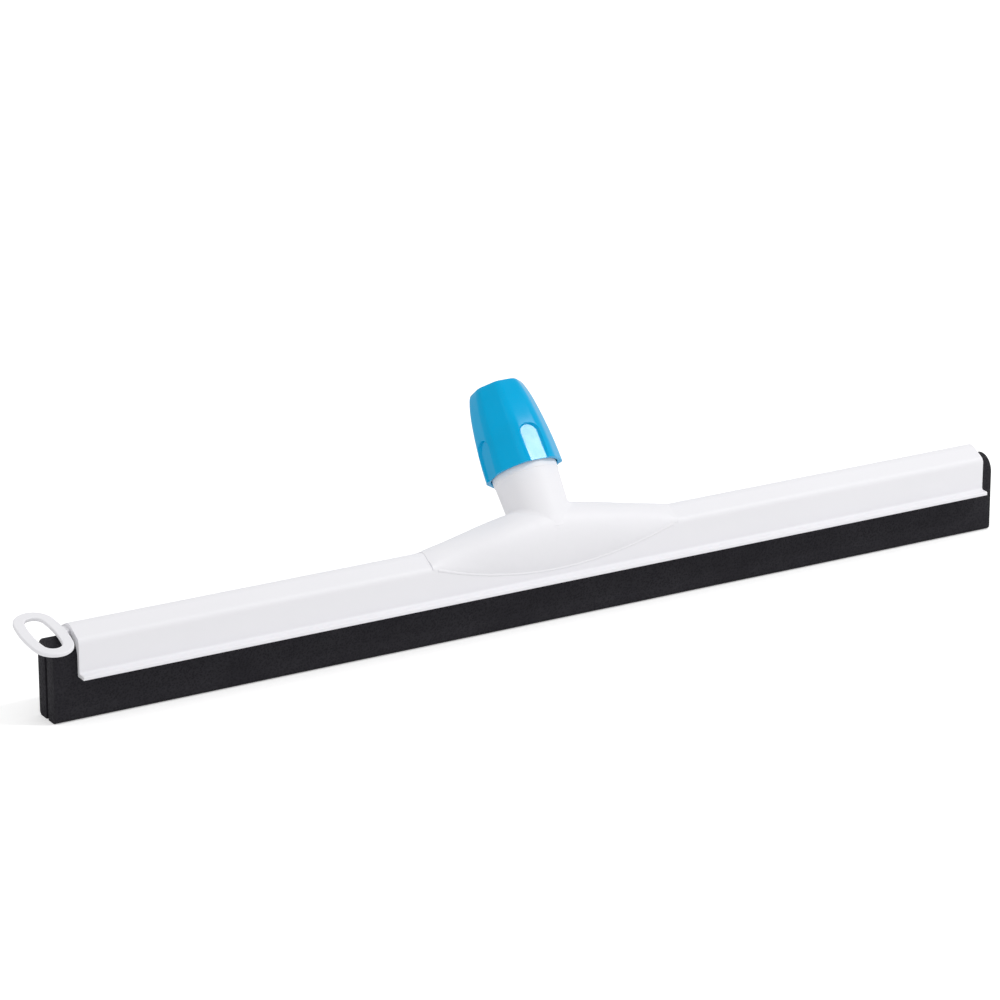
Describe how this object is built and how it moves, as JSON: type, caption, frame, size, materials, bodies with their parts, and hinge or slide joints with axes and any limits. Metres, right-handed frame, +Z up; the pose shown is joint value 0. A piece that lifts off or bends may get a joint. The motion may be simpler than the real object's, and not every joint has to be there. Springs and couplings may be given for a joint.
{
  "type": "floor squeegee head",
  "caption": "Floor squeegee head: folded cellular-rubber blade in a moulded holder, a ring nut that clamps a round handle, and a hanging ring.",
  "frame": {"origin": "on the working line of the blade, in its mid-plane, under the middle of the neck", "axes": "+X along the blade away from the hanging ring, +Y to the back where the neck leans, +Z up"},
  "size_m": [0.5619, 0.0807, 0.1143],
  "materials": {
    "holder_plastic": "satin",
    "cellular_rubber": "matte",
    "strip_plastic": "matte",
    "collet_plastic": "satin",
    "nut_plastic": "gloss",
    "ring_plastic": "satin"
  },
  "bodies": {
    "holder": {"blade_holder": "holder_plastic", "foam_blade": "cellular_rubber", "core_strip": "strip_plastic"},
    "collet": {"handle_collet": "collet_plastic"},
    "nut": {"ring_nut": "nut_plastic"},
    "ring": {"hanging_ring": "ring_plastic"}
  },
  "joints": [
    {"name": "collet_travel", "type": "slide", "parent": "holder", "child": "collet", "axis": [0, 0.6225, 0.7826], "range_m": [-0.0032, 0.0062]},
    {"name": "nut_turn", "type": "hinge", "parent": "collet", "child": "nut", "pos_m": [0, 0, 0.04263], "axis": [0, 0.6225, 0.7826], "range_deg": [-270, 540]},
    {"name": "ring_swivel", "type": "hinge", "parent": "holder", "child": "ring", "pos_m": [-0.265, 0, 0.04333], "axis": [1, 0, 0], "range_deg": [-34, 12]}
  ],
  "couplings": [
    {"joint": "collet_travel", "follows": "nut_turn", "m_per_rad": 0.00063662}
  ]
}
